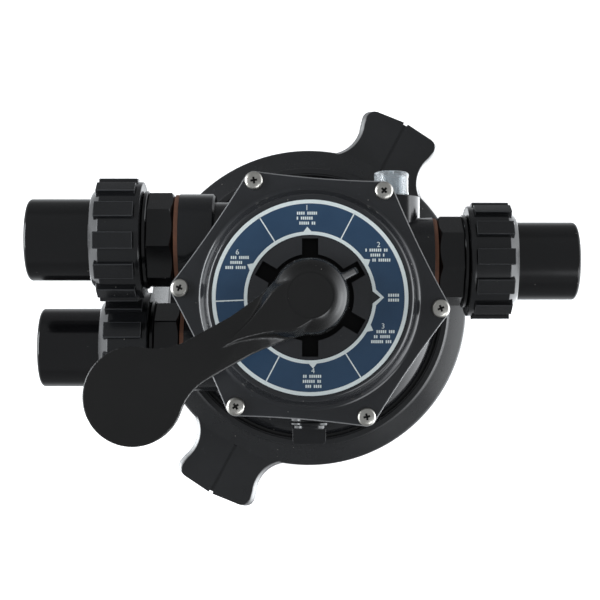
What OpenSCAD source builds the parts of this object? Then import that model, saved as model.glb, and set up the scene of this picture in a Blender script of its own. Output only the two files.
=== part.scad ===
// Top-mount six-way selector valve of a sand filter, with its unions and its tank ring nut.
// Millimetres. Origin at the bottom centre of the ring nut, +Z up the valve's axis,
// +X out of the waste port, so the pump and return ports point along -X.

/* [Pipe unions] */
// Outside diameter of a tail pipe
tail_d = 60.4; // [59:0.2:61]
// Bore of a tail's glue socket, for 50 mm pipe
socket_d = 50.2; // [50:0.1:50.4]
// Depth of a glue socket
socket_depth = 31; // [24:1:32]
// Distance from the valve's axis to a tail's end
reach = 206; // [200:1:220]
// Water way through the unions
flow_d = 44; // [38:1:46]
// Outside diameter of a union nut over its ribs
nut_d = 90.4; // [89:0.2:91]
// Grip ribs on a union nut
nut_ribs = 12; // [8:1:16]
// Width of one grip rib
rib_w = 13.6; // [9:0.2:15]
// Across the corners of a nipple's octagon
nipple_corner_d = 70; // [66:1:71]

/* [Ports] */
// Height of the pump port's axis
pump_z = 138; // [136:1:138]
// Sideways place of the pump port's axis
pump_y = 45; // [44:0.5:46]
// Height of the return and waste ports' axes
low_port_z = 80; // [79:1:82]
// Sideways place of the return and waste ports' axes
low_port_y = 33.5; // [32:0.5:35]
// Outside diameter of a port collar
collar_d = 67.6; // [66:0.2:68]

/* [Valve body] */
// Outside radius of the body's barrel
barrel_r = 76; // [74:1:77]
// Wall of the barrel and of the bell below it
wall = 6; // [4:0.5:7]
// Radius of the foot flange that the ring nut holds down
foot_r = 115; // [112:1:116]
// Radius of the bell where it meets the foot flange
bell_r = 103.5; // [100:0.5:104]
// Thickness of the walls between the lower chambers
chamber_wall = 5; // [3:0.5:8]

/* [Cover] */
// Radius of the circle that the cover screws stand on
screw_pcr = 92.6; // [91:0.2:94]
// Turn of the six-sided cover
cover_turn = -4.5; // [-8:0.5:8]
// Depth of the hollow along each side of the cover
side_hollow = 1.4; // [0.5:0.1:2.5]
// Radius of the cover's round boss at its foot
boss_r = 77.5; // [76:0.5:79]
// Outside radius of the dial label
label_r = 68.9; // [66:0.1:69]
// Inside radius of the dial label
label_inner_r = 43.9; // [43.6:0.1:46]
// Width of an index slot
slot_w = 11.4; // [9:0.2:13]
// Diameter of a cover screw's head
screw_head_d = 13; // [11:0.5:14]

/* [Selector] */
// Direction that the pointer shows
pointer_angle = 30; // [0:1:359]
// Radius of the stem
stem_r = 10; // [9:0.1:10]
// Turns of the rotor's spring
spring_turns = 5.5; // [4:0.5:7]

/* [Handle] */
// Reach of the handle from the valve's axis
handle_reach = 170; // [160:1:176]
// Diameter of the paddle at the handle's end
paddle_d = 66.8; // [60:0.2:70]
// Width of the handle's neck
neck_w = 29.6; // [26:0.2:34]
// Height of the handle's highest point
handle_top = 242; // [240:1:246]

/* [Tank ring nut] */
// Outside radius of the ring nut
ring_r = 128; // [127:0.5:130]
// Radius of the thread that takes the tank's neck
tank_thread_r = 117.5; // [117:0.5:119]
// Radius of the opening in the ring nut's crown
crown_r = 105.8; // [105:0.2:108]
// Direction of the first ear
ear_angle = 62.1; // [0:0.1:180]
// Half width of an ear's neck
ear_half_w = 30.4; // [28:0.2:33]
// Distance from the axis to an ear's end
ear_reach = 169.8; // [168:0.2:172]

/* [Hidden] */

black = "#1c1d20";
inner_black = "#2a2b2e";
rubber = "#101112";
gasket_brown = "#7a3f22";
steel = "#c9c7c0";
label_blue = "#1f4669";
clear_grey = "#b9c0c6";
$fn = 96;
cut = 0.1; // how far a cutting solid runs past the face it opens

// Heights of the ring nut and the body
foot_z = 21;
foot_top = 30;
crown_under = 30.4;
crown_top = 40;
ear_top = 30;
bell_z = 36;
barrel_z = 78;
floor_z = 50;
floor_top = 55;
web_z = 106;
web_top = 112;
flange_z = 160;
body_top = 172;

// Heights of the cover and the selector
cover_top = 180;
boss_top = 192;
label_z = 191.2;
label_t = 0.6;
recess_z = 184;
gasket_t = 3.2;
rotor_z = web_top + gasket_t + 0.2;
washer_z = recess_z;
washer_t = 3;
hub_z = 187.6;
hub_top = 225;
pin_z = 212;
pin_r = 4;
ridge_u = 68;
running_gap = 0.05;

// Stations along a union, measured out from the valve's axis
collar_s = 69;
collar_end = 95;
seat_end = 98;
octagon_end = 118;
fin_end = 120.8;
nut_s = 121.5;
nipple_end = 139.5;
tail_s = 139.75;
tail_flange_end = 146.5;
nut_shoulder = 147;
nut_end = 157.5;
nipple_r = 27;
union_thread_r = 34.5;
tail_flange_r = 34.2;

// Radii inside the body
riser_wall_r = 31.5;
riser_bore_r = 25.1;
seal_groove_r = 28.2;
seal_groove_z = 46;
window_in = 36;
window_out = 62;

// A round stretch of an outline
function arc(cx, cy, r, a0, a1, n = 12) =
    [for (i = [0:n]) [cx + r * cos(a0 + (a1 - a0) * i / n), cy + r * sin(a0 + (a1 - a0) * i / n)]];

// An outline mirrored in the X axis, in reverse order
function mirrored(points) = [for (i = [len(points) - 1:-1:0]) [points[i][0], -points[i][1]]];

// The bell's outside radius at height z, an S curve from the foot to the barrel
function bell(z) = z <= bell_z ? bell_r : z >= barrel_z ? barrel_r
    : bell_r - (bell_r - barrel_r) * (1 - cos(180 * (z - bell_z) / (barrel_z - bell_z))) / 2;

// Points up the bell between two heights, drawn in by a wall
function bell_points(z0, z1, inset) =
    [for (i = [0:10]) let (z = z0 + (z1 - z0) * i / 10) [bell(z) - inset, z]];

// A solid wedge between two directions
module wedge(a0, a1, z0, z1)
    translate([0, 0, z0]) linear_extrude(z1 - z0)
        polygon([[0, 0], 200 * [cos(a0), sin(a0)],
            230 * [cos((a0 + a1) / 2), sin((a0 + a1) / 2)], 200 * [cos(a1), sin(a1)]]);

// Puts a union piece on its port: its own Z axis points out of the valve
module on_port(side, y, z)
    translate([0, y, z]) rotate([0, 90 * side, 0]) children();

module on_pump() on_port(-1, pump_y, pump_z) children();
module on_return() on_port(-1, -low_port_y, low_port_z) children();
module on_waste() on_port(1, low_port_y, low_port_z) children();

// A pipe from one station to another
module pipe(r, bore, s0, s1)
    translate([0, 0, s0]) difference() {
        cylinder(r = r, h = s1 - s0);
        translate([0, 0, -cut]) cylinder(r = bore, h = s1 - s0 + 2 * cut);
    }

// A rod from one station to another
module rod(r, s0, s1) translate([0, 0, s0]) cylinder(r = r, h = s1 - s0);

module torus(major, minor, z) translate([0, 0, z]) rotate_extrude() translate([major, 0]) circle(minor, $fn = 48);

// Places its children at the six cover screws
module at_screws()
    for (i = [0:5]) rotate(cover_turn + 60 * i) translate([screw_pcr, 0, 0]) children();

// The six-sided outline of the cover and of the body's top flange
module hexagon(inset) {
    corner_r = 7 - inset;
    flat = screw_pcr * cos(30) + corner_r;
    half = screw_pcr / 2;
    hollow_r = (half * half + side_hollow * side_hollow) / (2 * side_hollow);
    rotate(cover_turn) difference() {
        union() {
            polygon([for (i = [0:5], t = [-30, 30])
                screw_pcr * [cos(60 * i), sin(60 * i)]
                    + corner_r * [cos(60 * i + t), sin(60 * i + t)]]);
            for (i = [0:5]) rotate(60 * i) translate([screw_pcr, 0]) circle(corner_r);
        }
        for (i = [0:5]) rotate(60 * i + 30)
            translate([flat - side_hollow + hollow_r, 0]) circle(hollow_r, $fn = 720);
    }
}

// The six water windows of the web, with spokes left between them
module windows(grow)
    difference() {
        circle(window_out + grow);
        circle(window_in - grow);
        for (i = [0:2]) rotate(60 * i) square([200, 8 - 2 * grow], center = true);
    }

// One lower port: neck, collar and its rounded shoulder
module port_outside() {
    rod(27.7, 40, collar_s + 1);
    translate([0, 0, collar_s]) rotate_extrude()
        polygon([[0, 0], [collar_d / 2 - 1.5, 0], [collar_d / 2, 1.5],
            [collar_d / 2, collar_end - collar_s], [0, collar_end - collar_s]]);
}

module port_inside(s0) {
    rod(flow_d / 2, s0, collar_end);
    rod(nipple_r, 76, collar_end + cut);
}

module chamber_ring(z0, z1)
    rotate_extrude() polygon(concat([[riser_wall_r, z0]], bell_points(z0, z1, wall), [[riser_wall_r, z1]]));

sight_x = 64;
sight_face = 83;
drain_face = 89.9;

module valve_body() color(black) difference() {
    union() {
        rotate_extrude() polygon(concat([[0, floor_z]], bell_points(floor_z, barrel_z, 0),
            [[barrel_r, body_top], [0, body_top]]));
        translate([0, 0, flange_z]) linear_extrude(body_top - flange_z) hexagon(1);
        on_pump() port_outside();
        on_return() port_outside();
        on_waste() port_outside();
        translate([sight_x, 0, low_port_z]) rotate([-90, 0, 0]) rod(22, 45, sight_face);
        translate([0, 0, low_port_z]) rotate([90, 0, 0]) rod(15, 60, drain_face);
    }
    translate([0, 0, web_top]) cylinder(r = barrel_r - wall, h = body_top - web_top + cut);
    difference() {
        chamber_ring(floor_top, web_z);
        for (i = [0:1]) rotate(60 + 60 * i)
            translate([0, 0, (floor_top + web_z) / 2]) cube([300, chamber_wall, 80], center = true);
    }
    for (a = [90, 270]) intersection() {
        pipe(84, riser_wall_r + 2, floor_z - cut, floor_top + cut);
        wedge(a - 27, a + 27, floor_z - 1, floor_top + 1);
    }
    translate([0, 0, web_z - cut]) linear_extrude(web_top - web_z + 2 * cut) windows(0);
    rod(seal_groove_r, floor_z - cut, floor_z + 1);
    rod(flow_d / 2, floor_z, web_top + cut);
    on_pump() port_inside(15);
    on_return() port_inside(44);
    on_waste() port_inside(44);
    translate([sight_x, 0, low_port_z]) rotate([-90, 0, 0]) {
        rod(8, 34, 70);
        rod(11.5, 68, sight_face + cut);
    }
    translate([0, 0, low_port_z]) rotate([90, 0, 0]) {
        rod(7, 62, 78);
        rod(10.1, 76, drain_face + cut);
    }
    at_screws() rod(3.3, flange_z - cut, body_top + cut);
}

// Lower wall of the body: the flange on the tank's neck and the bell above it
module tank_bell() color(black) difference() {
    rotate_extrude() polygon(concat([[bell_r - wall, foot_z], [foot_r, foot_z], [foot_r, foot_top],
        [bell_r, foot_top]], bell_points(bell_z, floor_z, 0),
        [for (i = [10:-1:0]) bell_points(foot_z, floor_z, wall)[i]]));
    pipe(111.1, 104.9, foot_z - cut, foot_z + 6);
    on_return() rod(collar_d / 2, collar_s - 9, seat_end + 3);
    on_waste() rod(collar_d / 2, collar_s - 9, seat_end + 3);
}

// Socket under the body's floor that takes the riser pipe
module riser_tube() color(black) difference() {
    rod(riser_wall_r, foot_z, floor_z);
    rod(riser_bore_r, foot_z - cut, seal_groove_z + cut);
    rod(seal_groove_r, seal_groove_z, floor_z + cut);
}

module cover() color(black) difference() {
    union() {
        translate([0, 0, body_top]) linear_extrude(cover_top - body_top) hexagon(0);
        rotate_extrude() polygon(concat([[0, cover_top - 4], [boss_r, cover_top - 4]],
            [[boss_r, cover_top + 0.6], [boss_r - 1.6, cover_top + 2.2], [74.6, 186.6]],
            arc(71.2, 188.6, 3.4, 0, 90, 6), [[0, boss_top]]));
        rod(barrel_r - wall - 0.2, 162, body_top + cut);
        rod(16, 166, recess_z);
    }
    difference() {
        rod(64, 162 - cut, 178);
        rod(16, 162 - 2 * cut, 179);
    }
    pipe(64, 34, 177, 185);
    pipe(label_r + 0.3, label_inner_r - 0.3, label_z, boss_top + cut);
    rod(30.7, recess_z, boss_top + cut);
    for (i = [0:2]) rotate(30 + 60 * i)
        translate([-41.5, -slot_w / 2, recess_z]) cube([83, slot_w, boss_top]);
    rod(16 + cut, 162 - cut, 166);
    rod(stem_r + running_gap, 160, recess_z + cut);
    pipe(barrel_r, 66.9, 165.4, 168.6);
    at_screws() rod(3.3, body_top - cut, cover_top + cut);
}

module cover_o_ring() color(rubber) torus(68.4, 1.5, 167);

module dial_label() color(label_blue) pipe(label_r, label_inner_r, label_z, label_z + label_t);

module cover_screws() color(steel) at_screws() difference() {
    union() {
        rod(3, 150, cover_top + 1);
        translate([0, 0, cover_top]) rotate_extrude()
            polygon(concat([[0, 0], [screw_head_d / 2, 0], [screw_head_d / 2, 1.2]],
                [for (a = [15:15:90]) [screw_head_d / 2 * cos(a), 1.2 + 2.4 * sin(a)]]));
    }
    for (a = [0, 90]) rotate(a + 20) translate([0, 0, cover_top + 3]) cube([6.6, 1.5, 3.2], center = true);
}

module cover_washers() color(steel) at_screws() pipe(6, 3.1, flange_z - 1.4, flange_z);

module cover_nuts() color(steel) at_screws() difference() {
    translate([0, 0, flange_z - 6.4]) cylinder(r = 5.77, h = 5, $fn = 6);
    rod(3, flange_z - 7, flange_z);
}

module spider_gasket() color(rubber) translate([0, 0, web_top]) linear_extrude(gasket_t) difference() {
    circle(68);
    circle(flow_d / 2 + 1);
    windows(0.6);
}

module tank_o_ring() color(rubber) torus(108, 3, foot_z + 3);

module riser_o_ring() color(rubber) torus(26.7, 1.4, 47.6);

module rotor() color(inner_black) difference() {
    rotate_extrude() polygon([[0, rotor_z], [66, rotor_z], [66, 121.4], [64, 121.4],
        [23, 139.5], [23, 141.8], [15, 141.8], [15, 152], [0, 152]]);
    intersection() {
        rotate_extrude() polygon([[0, 115], [62, 115], [62, 118], [24, 134], [0, 134]]);
        wedge(125, 175, 110, 140);
    }
    rod(21, 115, 124);
    intersection() {
        pipe(window_out, window_in, 115, 150);
        wedge(66, 114, 114, 151);
    }
    translate([0, 0, 138]) cylinder(r = 9.24, h = 15, $fn = 6);
}

// The stem is round in the cover and a flat blade inside the handle
module stem() color(steel) rotate(pointer_angle) difference() {
    union() {
        rotate(-pointer_angle) translate([0, 0, 138]) cylinder(r = 9.24, h = 15, $fn = 6);
        rod(stem_r, 152, 196);
        intersection() {
            rod(stem_r, 196 - cut, 218);
            translate([0, 0, 207]) cube([40, 14, 30], center = true);
        }
    }
    for (z = [172, 178]) pipe(stem_r + 1, stem_r - 1.9, z - 1.2, z + 1.2);
    translate([0, 0, pin_z]) rotate([90, 0, 0]) cylinder(r = pin_r, h = 30, center = true);
}

module stem_o_rings() color(rubber) for (z = [172, 178]) torus(stem_r - 0.95, 0.93, z);

module spring_washer() color(steel) pipe(22, 15.2, 141.8, 143.3);

// A round wire wound round the valve's axis, closed at both ends
module spring() {
    wire_r = 1.5;
    coil_r = 19;
    sides = 8;
    steps = ceil(spring_turns * 22);
    z0 = 143.3 + wire_r;
    z1 = 178 - wire_r;
    rings = [for (i = [0:steps], j = [0:sides - 1])
        let (a = 360 * spring_turns * i / steps, b = 360 * j / sides,
            r = coil_r + wire_r * cos(b))
        [r * cos(a), r * sin(a), z0 + (z1 - z0) * i / steps + wire_r * sin(b)]];
    sides_faces = [for (i = [0:steps - 1], j = [0:sides - 1])
        let (k = (j + 1) % sides)
        [i * sides + j, (i + 1) * sides + j, (i + 1) * sides + k, i * sides + k]];
    color(steel) polyhedron(rings, concat(sides_faces,
        [[for (j = [0:sides - 1]) j], [for (j = [sides - 1:-1:0]) steps * sides + j]]));
}

module handle_pin() color(steel) rotate(pointer_angle)
    translate([0, 0, pin_z]) rotate([90, 0, 0]) cylinder(r = pin_r, h = 41, center = true);

module handle_washer() color(inner_black) pipe(26, stem_r + 0.4, washer_z, washer_z + washer_t);

// Plan of the arm and paddle, along +X
module handle_plan() {
    paddle_r = paddle_d / 2;
    paddle_u = handle_reach - paddle_r;
    half = neck_w / 2;
    throat_r = 38;
    throat_u = paddle_u - sqrt(pow(paddle_r + throat_r, 2) - pow(half + throat_r, 2));
    throat_a = atan2(half + throat_r, throat_u - paddle_u);
    side = concat([[10, 21]], arc(40, half + 26, 26, 245, 270, 5),
        arc(throat_u, half + throat_r, throat_r, 270, throat_a + 180, 8));
    polygon(concat(side, [[paddle_u, 0]], mirrored(side)));
    translate([paddle_u, 0]) circle(paddle_r);
}

// Side view of the arm and paddle, along +X
module handle_side() {
    thick = 9;
    polygon([[8, 211], [30, 212], [50, 219.5], [ridge_u, 227.5], [95, handle_top - 5], [130, handle_top],
        [handle_reach + 1, handle_top], [handle_reach + 1, handle_top - thick], [128, handle_top - thick],
        [92, 227.5], [55, 212.5], [27, 203], [8, 203]]);
}

// Raised spine from the hub that runs out to a point in the arm's top
module handle_ridge() {
    half = [[0, 14], [19, 13], [30, 8.5], [42, 5], [ridge_u, 0.6]];
    intersection() {
        linear_extrude(300) polygon(concat(half, mirrored(half)));
        rotate([90, 0, 0]) translate([0, 0, -50]) linear_extrude(100)
            polygon([[0, 222], [18, 222.5], [ridge_u, 228], [ridge_u, 219], [30, 206], [0, 206]]);
    }
}

module handle() color(black) rotate(pointer_angle + 180) difference() {
    union() {
        rotate_extrude() polygon([[0, hub_z], [20, hub_z], [27.2, 190.5], [27.2, 207], [26.4, 213.5],
            [23.9, 218.5], [20, 222.2], [16.6, 224.5], [15.6, hub_top], [0, hub_top]]);
        intersection() {
            linear_extrude(300) handle_plan();
            rotate([90, 0, 0]) translate([0, 0, -50]) linear_extrude(100) handle_side();
        }
        handle_ridge();
        rotate([90, 0, 0]) translate([0, 0, -3.5]) linear_extrude(7)
            polygon([[-8, 222], [-17, 219], [-30, 211], [-37, 203], [-38.5, 198],
                [-38.5, 192.6], [-33, 192.6], [-24, 196], [-8, 200]]);
    }
    translate([-10.6, -10.4, 180]) cube([27.8, 20.8, 18]);
    translate([-13.2, -7.4, 197]) cube([28.8, 14.8, 24]);
    translate([0, 0, pin_z]) rotate([90, 0, 0]) cylinder(r = pin_r + running_gap, h = 80, center = true);
}

// Outline of an ear along +X, drawn in by an inset
function ear_outline(inset) =
    let (fillet_r = 26, corner_r = 7.5,
        fillet_v = ear_half_w + fillet_r,
        fillet_u = sqrt(pow(ring_r + fillet_r - 0.8, 2) - fillet_v * fillet_v),
        foot_a = 180 + atan2(fillet_v, fillet_u),
        corner_u = ear_reach - 10, corner_v = ear_half_w - 3.7,
        half = concat([[ring_r - 18, fillet_v - 14 - inset]],
            arc(fillet_u, fillet_v, fillet_r + inset, foot_a, 294, 10),
            arc(corner_u, corner_v, corner_r - inset, 114, 8, 8),
            [[ear_reach - inset, 0]]))
    concat(half, mirrored(half));

module tank_ring_nut() color(black) difference() {
    union() {
        rotate_extrude() polygon(concat([[crown_r, 0], [ring_r - 1, 0], [ring_r, 1]],
            arc(ring_r - 3, 27, 3, 0, 60, 5), [[113.6, 37.2], [112, 38.6], [111.4, crown_top],
            [crown_r, crown_top]]));
        for (a = [0, 180]) rotate(ear_angle + a) {
            linear_extrude(ear_top - 3) polygon(ear_outline(0));
            translate([0, 0, ear_top - 4]) linear_extrude(4) polygon(ear_outline(2));
        }
    }
    rod(tank_thread_r, -cut, foot_z);
    rod(foot_r + 3.5, foot_z - 1, crown_under);
    for (a = [0, 180]) rotate(ear_angle + a) {
        for (side = [-1, 1]) intersection() {
            translate([0, 0, -cut]) linear_extrude(ear_top - 5) polygon(ear_outline(5));
            pipe(200, ring_r + 1, -1, 40);
            translate([100, side > 0 ? 2.5 : -62.5, -1]) cube([100, 60, 60]);
        }
        translate([ring_r - 4, -1, ear_top - 1]) cube([80, 2, 20]);
        translate([ear_reach - 2.2, -1.5, -1]) cube([10, 3, 60]);
    }
}

module nipple(side) color(black) difference() {
    union() {
        rod(nipple_r, 77, octagon_end);
        intersection() {
            translate([0, 0, seat_end]) rotate(11 * side)
                cylinder(r = nipple_corner_d / 2, h = octagon_end - seat_end, $fn = 8);
            rotate_extrude() polygon([[0, seat_end], [31, seat_end], [36, seat_end + 4.2],
                [36, octagon_end], [0, octagon_end]]);
        }
        rod(36, octagon_end - cut, fin_end);
        rod(union_thread_r, fin_end - cut, nipple_end);
    }
    rod(flow_d / 2, 76, nipple_end + 1);
    pipe(31, 27, nipple_end - 3.2, nipple_end + 1);
}

module thread_gasket() color(gasket_brown) pipe(33.2, nipple_r, collar_end, seat_end);

module union_o_ring() color(rubber) torus(29, 1.7, nipple_end - 1.5);

module tail() color(black) difference() {
    union() {
        rod(tail_flange_r, tail_s, tail_flange_end);
        rod(tail_d / 2, tail_flange_end - cut, reach - 1.2);
        translate([0, 0, reach - 1.2]) rotate_extrude()
            polygon([[0, 0], [tail_d / 2, 0], [tail_d / 2 - 1.2, 1.2], [0, 1.2]]);
    }
    rod(flow_d / 2, tail_s - cut, reach);
    rod(socket_d / 2, reach - socket_depth, reach + cut);
}

module union_nut() color(black) difference() {
    union() {
        rotate_extrude() polygon(concat([[0, nut_s], [42.4, nut_s], [43.2, nut_s + 0.8], [43.2, nut_s + 3.6],
            [42.4, nut_s + 4.4]], arc(35.4, nut_end - 7, 7, 0, 90, 8), [[0, nut_end]]));
        intersection() {
            rotate_extrude() polygon(concat([[30, nut_s + 4.4], [nut_d / 2, nut_s + 4.4]],
                arc(nut_d / 2 - 8, nut_end - 9.2, 8, 0, 80, 8), [[30, nut_end - 1.4]]));
            for (i = [0:nut_ribs - 1]) rotate(360 * i / nut_ribs)
                translate([20, -rib_w / 2, nut_s]) cube([40, rib_w, 40]);
        }
    }
    rod(union_thread_r + 0.2, nut_s - cut, nut_shoulder);
    rod(tail_d / 2 + 0.3, nut_shoulder - cut, nut_end + cut);
}

// Threaded cap over the waste port's sight hole, closed at its far end
module sight_glass() color(clear_grey, 0.6)
    translate([sight_x, 0, low_port_z]) rotate([-90, 0, 0]) difference() {
        union() {
            rod(11.4, 70.5, sight_face + 2);
            rotate_extrude() polygon(concat([[0, sight_face + 1.6], [13.5, sight_face + 1.6]],
                arc(11.5, 101, 2, 0, 90, 6), [[0, 103]]));
        }
        rod(8.6, 70, 100.4);
    }

module sight_glass_o_ring() color(rubber)
    translate([sight_x, 0, low_port_z]) rotate([-90, 0, 0]) torus(12.4, 0.8, sight_face + 0.8);

module drain_plug() color(black) translate([0, 0, low_port_z]) rotate([90, 0, 0]) difference() {
    union() {
        rod(10, 78.5, drain_face + 2);
        rod(15, drain_face + 1.2, drain_face + 3.5);
        rod(12.6, drain_face + 3, drain_face + 6.4);
        translate([-12.8, -3.2, drain_face + 6]) cube([25.6, 6.4, 12.1]);
    }
    for (side = [-1, 1]) translate([side * 14.8, 0, 109.9]) rotate([90, 0, 0])
        cylinder(r = 4, h = 20, center = true);
    rod(6.5, 78, 92);
}

module drain_plug_o_ring() color(rubber)
    translate([0, 0, low_port_z]) rotate([90, 0, 0]) torus(12, 0.6, drain_face + 0.6);

valve_body();
tank_bell();
riser_tube();
cover();
dial_label();
cover_screws();
cover_washers();
cover_nuts();
cover_o_ring();
spider_gasket();
tank_o_ring();
riser_o_ring();
rotor();
stem();
stem_o_rings();
spring();
spring_washer();
handle_pin();
handle_washer();
handle();
tank_ring_nut();
on_pump() nipple(-1);  // pump_nipple
on_pump() thread_gasket();  // pump_thread_gasket
on_pump() union_o_ring();  // pump_union_o_ring
on_pump() tail();  // pump_tail
on_pump() union_nut();  // pump_union_nut
on_return() nipple(-1);  // return_nipple
on_return() thread_gasket();  // return_thread_gasket
on_return() union_o_ring();  // return_union_o_ring
on_return() tail();  // return_tail
on_return() union_nut();  // return_union_nut
on_waste() nipple(1);  // waste_nipple
on_waste() thread_gasket();  // waste_thread_gasket
on_waste() union_o_ring();  // waste_union_o_ring
on_waste() tail();  // waste_tail
on_waste() union_nut();  // waste_union_nut
sight_glass();
sight_glass_o_ring();
drain_plug();
drain_plug_o_ring();
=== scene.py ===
import math

import bmesh
import bpy
from mathutils import Matrix, Vector


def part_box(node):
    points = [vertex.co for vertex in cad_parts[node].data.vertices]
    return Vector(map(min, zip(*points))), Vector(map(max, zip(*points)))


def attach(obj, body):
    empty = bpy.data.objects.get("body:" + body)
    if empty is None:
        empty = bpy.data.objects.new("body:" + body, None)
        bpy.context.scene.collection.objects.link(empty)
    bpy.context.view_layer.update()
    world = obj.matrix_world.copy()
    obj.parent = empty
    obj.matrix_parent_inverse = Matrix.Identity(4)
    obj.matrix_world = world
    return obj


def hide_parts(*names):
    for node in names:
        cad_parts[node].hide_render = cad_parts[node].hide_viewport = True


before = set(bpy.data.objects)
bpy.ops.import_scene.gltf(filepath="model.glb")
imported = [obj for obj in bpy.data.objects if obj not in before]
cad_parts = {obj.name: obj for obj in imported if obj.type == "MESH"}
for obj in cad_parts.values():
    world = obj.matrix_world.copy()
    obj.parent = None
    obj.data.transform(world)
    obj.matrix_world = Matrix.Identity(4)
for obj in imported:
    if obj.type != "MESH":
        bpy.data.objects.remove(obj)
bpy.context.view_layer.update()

# ---------------------------------------------------------------- studio
# A white glowing floor that leaves almost no shadow, air that is bright low down at the left and the
# right, two long soft boxes at the sides, and a camera that looks almost straight down on the valve.
MM = 0.001


class Wire:
    """A node's output. Arithmetic between wires and numbers adds Math nodes to their finish."""

    def __init__(self, finish, socket):
        self.finish = finish
        self.socket = socket

    def maths(self, operation, first, second):
        return self.finish.node("ShaderNodeMath", {"operation": operation}, {0: first, 1: second})

    def __add__(self, other):
        return self.maths("ADD", self, other)

    def __radd__(self, other):
        return self.maths("ADD", other, self)

    def __sub__(self, other):
        return self.maths("SUBTRACT", self, other)

    def __rsub__(self, other):
        return self.maths("SUBTRACT", other, self)

    def __mul__(self, other):
        return self.maths("MULTIPLY", self, other)

    def __rmul__(self, other):
        return self.maths("MULTIPLY", other, self)

    def __gt__(self, other):
        return self.maths("GREATER_THAN", self, other)

    def __lt__(self, other):
        return self.maths("LESS_THAN", self, other)


class Finish:
    """A material, or the studio's air, whose nodes are added one by one."""

    def __init__(self, name, library=bpy.data.materials, end="ShaderNodeOutputMaterial"):
        self.material = library.new(name)
        self.material.use_nodes = True
        self.tree = self.material.node_tree
        self.tree.nodes.clear()
        self.surface = self.tree.nodes.new(end).inputs["Surface"]

    def node(self, kind, settings=None, sockets=None, out=0):
        """Adds a node: its settings first, then its sockets' values or wires. Gives one output."""
        made = self.tree.nodes.new(kind)
        for name, value in (settings or {}).items():
            if name == "stops":
                while len(made.color_ramp.elements) < len(value):
                    made.color_ramp.elements.new(1.0)
                for element, (place, colour) in zip(made.color_ramp.elements, value):
                    element.position = place
                    element.color = colour
            else:
                setattr(made, name, value)
        for name, value in (sockets or {}).items():
            if isinstance(value, Wire):
                self.tree.links.new(value.socket, made.inputs[name])
            else:
                made.inputs[name].default_value = value
        return Wire(self, made.outputs[out])

    def tint(self, amount, first, second):
        """A colour between two others."""
        return self.node("ShaderNodeMix", {"data_type": "RGBA"}, {0: amount, 6: first, 7: second}, out=2)

    def noise(self, place, scale, detail=2.0, roughness=0.5):
        sockets = {"Vector": place, "Scale": scale, "Detail": detail, "Roughness": roughness}
        return self.node("ShaderNodeTexNoise", None, sockets)

    def bump(self, strength, distance, height):
        sockets = {"Strength": strength, "Distance": distance, "Height": height}
        return self.node("ShaderNodeBump", None, sockets)

    def close(self, shader):
        """Takes the shader to the surface and gives the finished material."""
        self.tree.links.new(shader.socket, self.surface)
        return self.material


def put_on(piece, material):
    piece.data.materials.clear()
    piece.data.materials.append(material)


def deselect():
    bpy.ops.object.select_all(action="DESELECT")


deselect()
floor_size = 60.0
floor_drop = 0.3 * MM
bpy.ops.mesh.primitive_plane_add(size=floor_size, location=(0, 0, -floor_drop))
floor = bpy.context.object
floor.name = "studio_floor"
paper = Finish("studio_paper")
paper_place = paper.node("ShaderNodeTexCoord", out="Object")
paper_tone = 0.88 + 0.02 * paper.noise(paper_place, 40, 3)
paper_channels = {"Red": paper_tone, "Green": paper_tone, "Blue": paper_tone}
paper_colour = paper.node("ShaderNodeCombineColor", None, paper_channels)
paper_sockets = {"Base Color": paper_colour, "Roughness": 0.9, "Specular IOR Level": 0.1,
                 "Emission Color": (1, 1, 1, 1), "Emission Strength": 0.80}
put_on(floor, paper.close(paper.node("ShaderNodeBsdfPrincipled", None, paper_sockets)))
floor.visible_glossy = False

air = Finish("studio_air", bpy.data.worlds, "ShaderNodeOutputWorld")
air_way = air.node("ShaderNodeTexCoord", out="Generated")
air_x, air_y, air_z = (air.node("ShaderNodeSeparateXYZ", None, {"Vector": air_way}, out=axis)
                       for axis in "XYZ")
air_reach = air_x * air_x + air_y * air_y + 0.0001
air_level = air.node("ShaderNodeMath", {"operation": "SQRT"}, {0: air_reach})


def air_lobe(towards_x, towards_y, power):
    """How far a level direction faces a lit wall of the studio, 0 to 1."""
    facing = air_level.maths("DIVIDE", towards_x * air_x + towards_y * air_y, air_level)
    return facing.maths("POWER", facing.maths("MAXIMUM", facing, 0.0), power)


def air_between(height, start, end):
    """Rises smoothly from 0 to 1 between two values."""
    return air.node("ShaderNodeMapRange", {"interpolation_type": "SMOOTHSTEP"},
                    {"Value": height, "From Min": start, "From Max": end, "To Min": 0.0, "To Max": 1.0})


right_wall, left_wall = 4.8 * air_lobe(0.995, -0.10, 5.0), 3.2 * air_lobe(-1.0, 0.0, 7.0)
air_base, air_gap = 0.34, 0.10
low_air = air_between(air_z, 0.45, 0.20)
under_air = 0.5 * air_between(air_z, -0.50, -0.95)
arm_patch = 4.0 * air_between(0.45 * air_x - 0.57 * air_y + 0.69 * air_z, 0.960, 0.990)
air_glow = air_base + low_air * (right_wall + left_wall - air_gap) + under_air + arm_patch
air_sockets = {"Color": (0.94, 0.97, 1.0, 1), "Strength": air_glow}
bpy.context.scene.world = air.close(air.node("ShaderNodeBackground", None, air_sockets))


def soft_box(name, place, aim, width, height, watts, colour):
    """A flat studio lamp that points at a spot and isn't seen itself."""
    deselect()
    bpy.ops.object.light_add(type="AREA", location=place)
    lamp = bpy.context.object
    lamp.name = name
    lamp.data.shape = "RECTANGLE"
    lamp.data.size = width
    lamp.data.size_y = height
    lamp.data.energy = watts
    lamp.data.color = colour
    lamp.rotation_euler = (Vector(aim) - Vector(place)).to_track_quat("-Z", "Y").to_euler()
    lamp.visible_camera = False


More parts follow.
